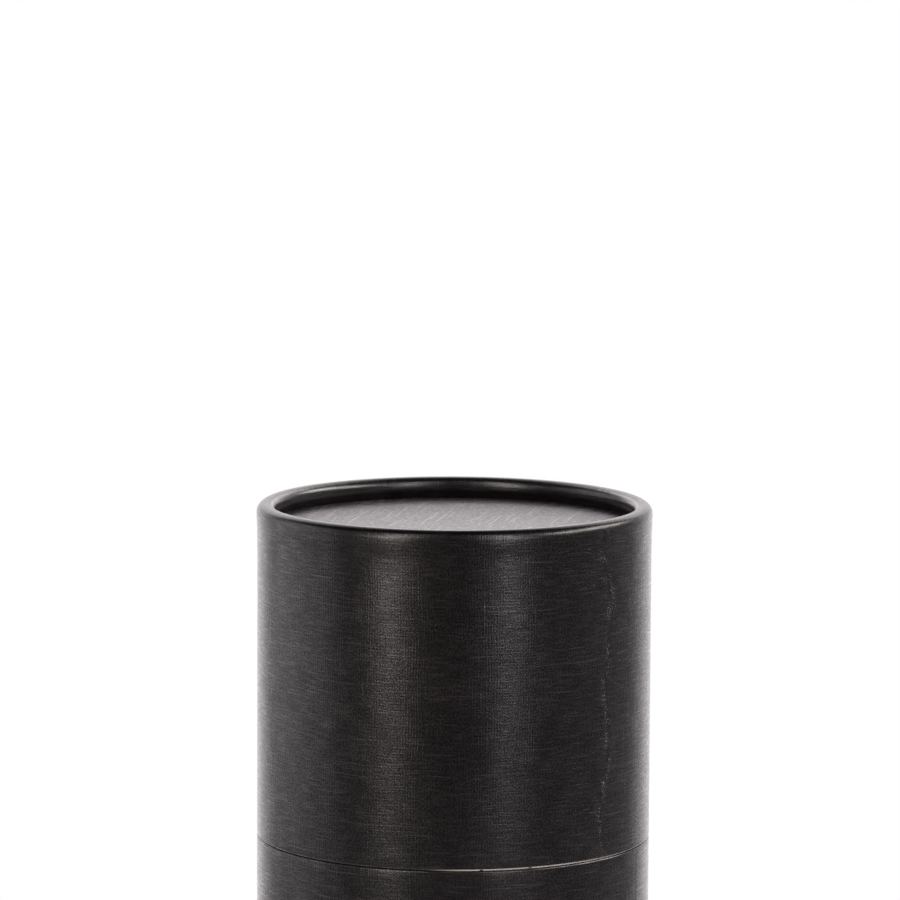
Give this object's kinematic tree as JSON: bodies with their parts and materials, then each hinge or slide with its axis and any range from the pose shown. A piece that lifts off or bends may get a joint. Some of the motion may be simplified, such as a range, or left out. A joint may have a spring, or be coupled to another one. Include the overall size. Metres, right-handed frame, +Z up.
{
  "type": "cardboard tube box",
  "caption": "Round black linen-paper tube box: lift-off lid over an inner neck, flush seam, rolled rims gripping recessed end discs.",
  "frame": {"origin": "centre of the rolled rim that the box stands on, at floor level", "axes": "+Z up along the tube's axis towards the lid; -Y is the front, with the lap of the lid's wrapping paper to its right, towards +X"},
  "size_m": [0.0804, 0.0804, 0.18],
  "materials": {
    "linen_wrap": "satin",
    "linen_disc": "satin",
    "neck_lining": "matte"
  },
  "bodies": {
    "base": {"base_tube": "linen_wrap", "base_disc": "linen_disc", "neck_tube": "neck_lining"},
    "lid": {"lid_tube": "linen_wrap", "lid_disc": "linen_disc"}
  },
  "joints": [
    {"name": "lid_lift", "type": "slide", "parent": "base", "child": "lid", "axis": [0, 0, 1], "range_m": [0, 0.06]}
  ]
}
